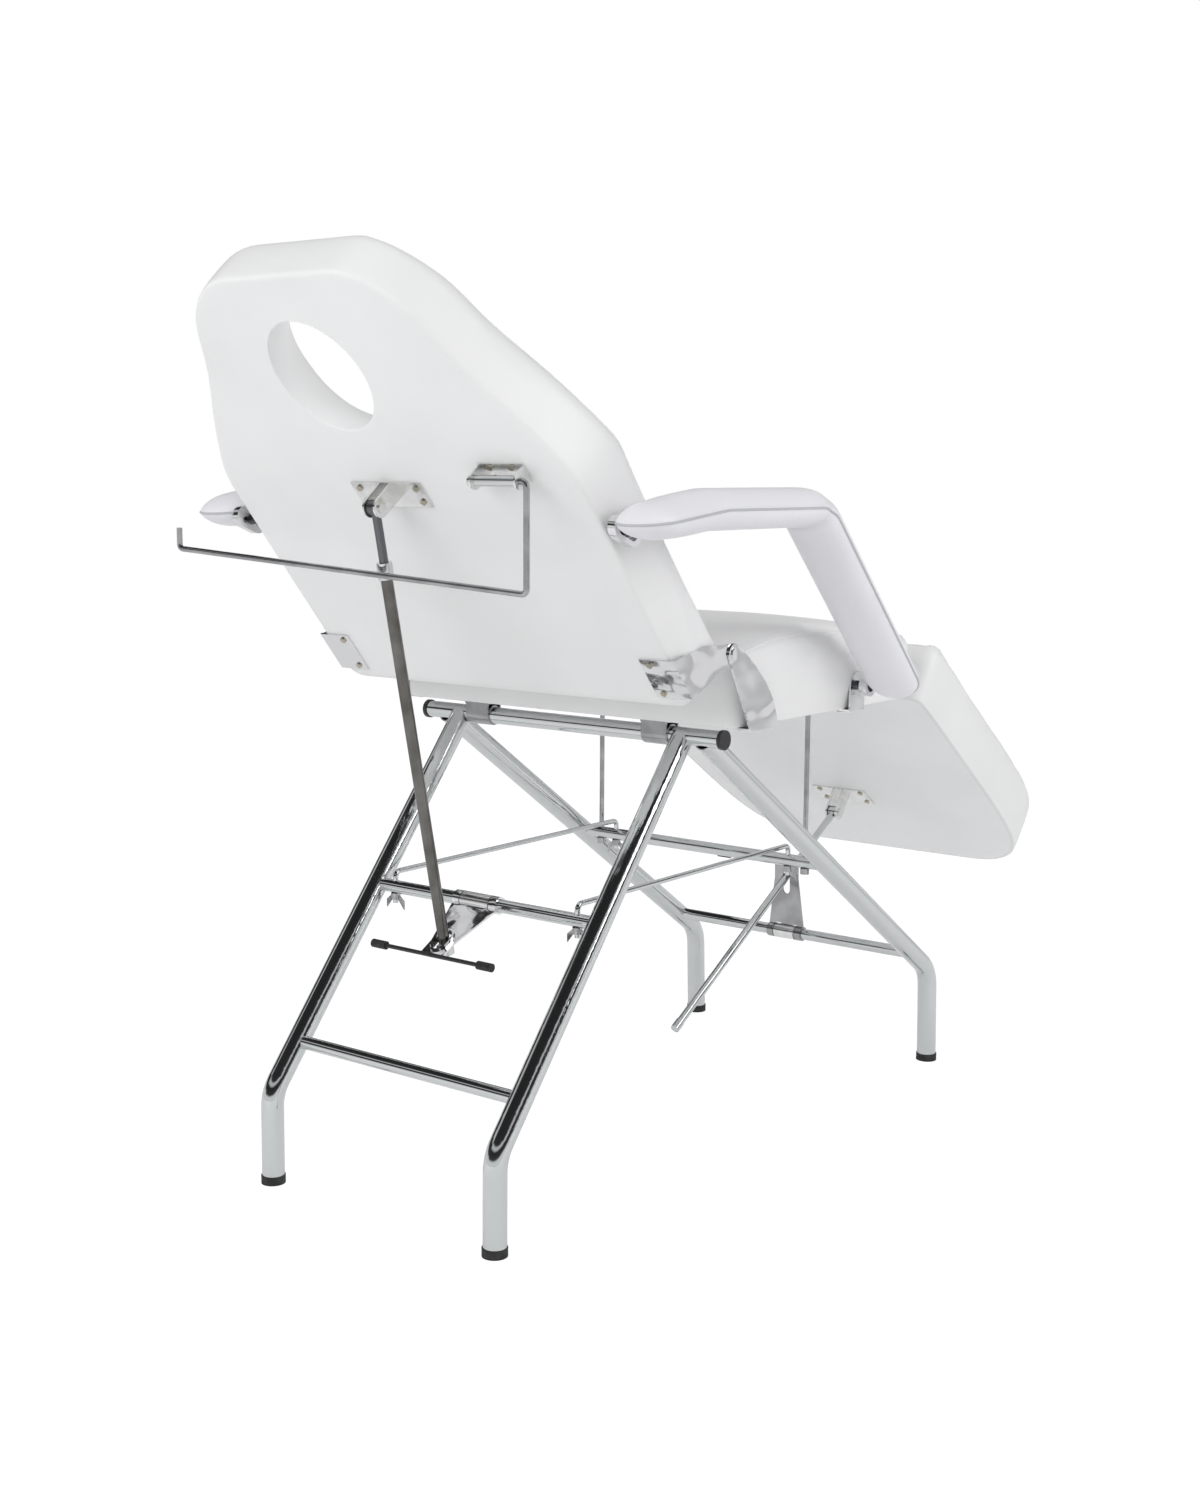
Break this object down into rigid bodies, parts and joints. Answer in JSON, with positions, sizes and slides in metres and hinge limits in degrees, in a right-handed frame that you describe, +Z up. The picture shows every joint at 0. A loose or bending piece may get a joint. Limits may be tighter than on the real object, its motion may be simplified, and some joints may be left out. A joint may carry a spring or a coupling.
{
  "type": "adjustable treatment bed",
  "caption": "Folding-frame treatment bed with reclining backrest with face hole, tilting leg rest, linked armrests, sliding struts with release levers and a paper roll rod.",
  "frame": {"origin": "on the floor, midway along the bed and across its width", "axes": "+Z up, +Y towards the head end, +X towards the side with the far end of the paper roll rod"},
  "size_m": [0.832, 1.6283, 1.2953],
  "materials": {
    "chrome_tube": "bright chrome plating",
    "dark_steel": "dark polished steel",
    "chrome_plate": "mirror chrome sheet",
    "zinc": "bright zinc plating",
    "yellow_zinc": "yellow zinc plating",
    "dark_bolt": "dark plated steel",
    "black_rubber": "matte black rubber",
    "black_plastic": "matte black plastic",
    "black_bar": "satin black paint",
    "board_cover": "plywood covered in smooth cool grey-white vinyl",
    "white_vinyl": "smooth white vinyl over foam",
    "armrest_vinyl": "smooth lilac-white vinyl over foam"
  },
  "bodies": {
    "base": {"armrest_seat_brackets": "chrome_plate", "armrest_seat_studs": "dark_bolt", "foot_caps": "black_rubber", "front_leg_left": "chrome_tube", "front_leg_right": "chrome_tube", "front_lever_clamp": "zinc", "front_lower_crossbar": "chrome_tube", "front_upper_crossbar": "chrome_tube", "hinge_rivets": "chrome_plate", "leg_hinge_fixed_leaves": "zinc", "leg_hinge_pins": "zinc", "rear_leg_left": "chrome_tube", "rear_leg_right": "chrome_tube", "rear_lever_clamp": "zinc", "rear_lower_crossbar": "chrome_tube", "rear_middle_crossbar": "chrome_tube", "saddle_bolts": "yellow_zinc", "seat_board": "board_cover", "seat_cushion": "white_vinyl", "seat_hinge_plates": "chrome_plate", "seat_screws": "yellow_zinc", "seat_support_rods": "chrome_tube", "tie_rods": "chrome_tube", "top_tube": "chrome_tube", "top_tube_caps": "black_plastic", "tube_saddles": "zinc", "wing_nuts": "zinc"},
    "back_strut": {"back_strut_rod": "dark_steel", "back_strut_collar": "chrome_tube", "back_strut_tube": "chrome_tube", "back_strut_cap": "chrome_tube"},
    "leg_strut": {"leg_strut_tube": "chrome_tube", "leg_strut_cap": "chrome_tube"},
    "rear_lever": {"rear_lever_plate": "chrome_plate", "rear_lever_bar": "black_bar", "rear_lever_grips": "black_rubber"},
    "front_lever": {"front_lever_plate": "chrome_plate", "front_lever_bar": "black_bar", "front_lever_grips": "black_rubber"},
    "armrest_left": {"armrest_pad_left": "armrest_vinyl", "armrest_blocks_left": "chrome_plate"},
    "armrest_right": {"armrest_pad_right": "armrest_vinyl", "armrest_blocks_right": "chrome_plate"},
    "paper_rod": {"paper_roll_rod": "chrome_tube"},
    "backrest": {"backrest_board": "board_cover", "backrest_cushion": "white_vinyl", "backrest_hinge_plates": "chrome_plate", "backrest_screws": "yellow_zinc", "back_strut_bracket": "zinc", "back_strut_pin": "zinc", "paper_roll_bracket": "zinc", "paper_roll_sleeve": "chrome_tube", "armrest_back_studs": "dark_bolt"},
    "leg_rest": {"leg_rest_board": "board_cover", "leg_rest_cushion": "white_vinyl", "leg_hinge_moving_leaves": "zinc", "leg_strut_bracket": "zinc", "leg_rest_screws": "yellow_zinc", "leg_strut_pin": "zinc"}
  },
  "joints": [
    {"name": "backrest_recline", "type": "hinge", "parent": "base", "child": "backrest", "pos_m": [0, 0.294, 0.756], "axis": [-1, 0, 0], "range_deg": [0, 50.6]},
    {"name": "leg_rest_tilt", "type": "hinge", "parent": "base", "child": "leg_rest", "pos_m": [0, -0.235, 0.646], "axis": [-1, 0, 0], "range_deg": [-10, 35]},
    {"name": "armrest_left_swing", "type": "hinge", "parent": "base", "child": "armrest_left", "pos_m": [-0.322, -0.043, 0.685], "axis": [-1, 0, 0], "range_deg": [0, 24]},
    {"name": "armrest_right_swing", "type": "hinge", "parent": "base", "child": "armrest_right", "pos_m": [0.322, -0.043, 0.685], "axis": [-1, 0, 0], "range_deg": [0, 24]},
    {"name": "back_strut_swing", "type": "hinge", "parent": "backrest", "child": "back_strut", "pos_m": [0.008, 0.63291, 0.94803], "axis": [-1, 0, 0], "range_deg": [-33, 0]},
    {"name": "leg_strut_swing", "type": "hinge", "parent": "leg_rest", "child": "leg_strut", "pos_m": [0.008, -0.53503, 0.39001], "axis": [-1, 0, 0], "range_deg": [-14.1, 4.1]},
    {"name": "rear_release", "type": "hinge", "parent": "base", "child": "rear_lever", "pos_m": [0.008, 0.43426, 0.395], "axis": [1, 0, 0], "range_deg": [0, 12], "stiffness_Nm_per_rad": 3, "springref_deg": -11.46},
    {"name": "front_release", "type": "hinge", "parent": "base", "child": "front_lever", "pos_m": [0.008, -0.38191, 0.198], "axis": [-1, 0, 0], "range_deg": [0, 8], "stiffness_Nm_per_rad": 3, "springref_deg": -11.46},
    {"name": "paper_roll_swing", "type": "hinge", "parent": "backrest", "child": "paper_rod", "pos_m": [-0.2, 0.63899, 0.98379], "axis": [-1, 0, 0], "range_deg": [-51, 0]}
  ],
  "couplings": [
    {"joint": "armrest_left_swing", "follows": "backrest_recline", "ratio": 0.4733},
    {"joint": "armrest_right_swing", "follows": "backrest_recline", "ratio": 0.4733},
    {"joint": "back_strut_swing", "follows": "backrest_recline", "ratio": -0.6471},
    {"joint": "paper_roll_swing", "follows": "backrest_recline", "ratio": -1},
    {"joint": "leg_strut_swing", "follows": "leg_rest_tilt", "ratio": -0.4}
  ]
}
